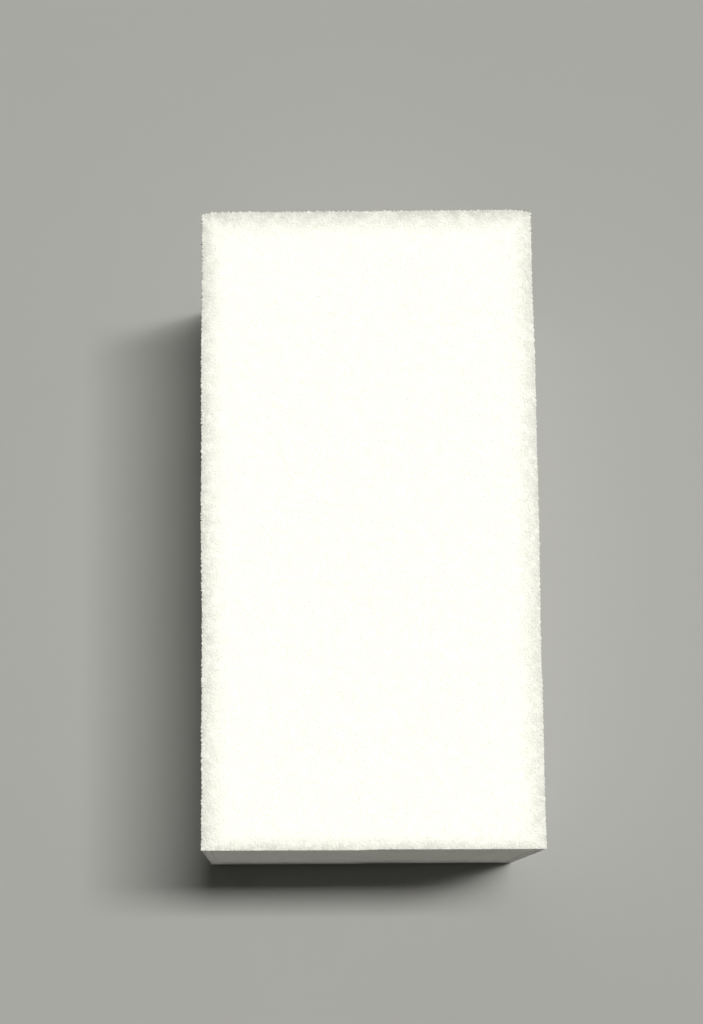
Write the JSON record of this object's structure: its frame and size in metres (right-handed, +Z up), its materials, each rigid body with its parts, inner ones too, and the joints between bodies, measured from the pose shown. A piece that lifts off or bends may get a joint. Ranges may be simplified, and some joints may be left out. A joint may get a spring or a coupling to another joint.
{
  "type": "nail buffer block",
  "caption": "Rectangular foam block with a white coarse abrasive strip bonded to each long face and bare, cut foam ends.",
  "frame": {"origin": "centre of the bottom face, on the surface that the block rests on", "axes": "+Z up, +Y along the block from the near cut end to the far one, +X to the right"},
  "size_m": [0.025, 0.048, 0.0275],
  "materials": {
    "foam": "matte closed-cell foam",
    "adhesive": "satin",
    "backing": "matte",
    "grit": "rough, grainy"
  },
  "bodies": {
    "root": {"foam_core": "foam", "top_adhesive_film": "adhesive", "top_backing_sheet": "backing", "top_grit_coat": "grit", "right_adhesive_film": "adhesive", "right_backing_sheet": "backing", "right_grit_coat": "grit", "bottom_adhesive_film": "adhesive", "bottom_backing_sheet": "backing", "bottom_grit_coat": "grit", "left_adhesive_film": "adhesive", "left_backing_sheet": "backing", "left_grit_coat": "grit"}
  },
  "joints": []
}
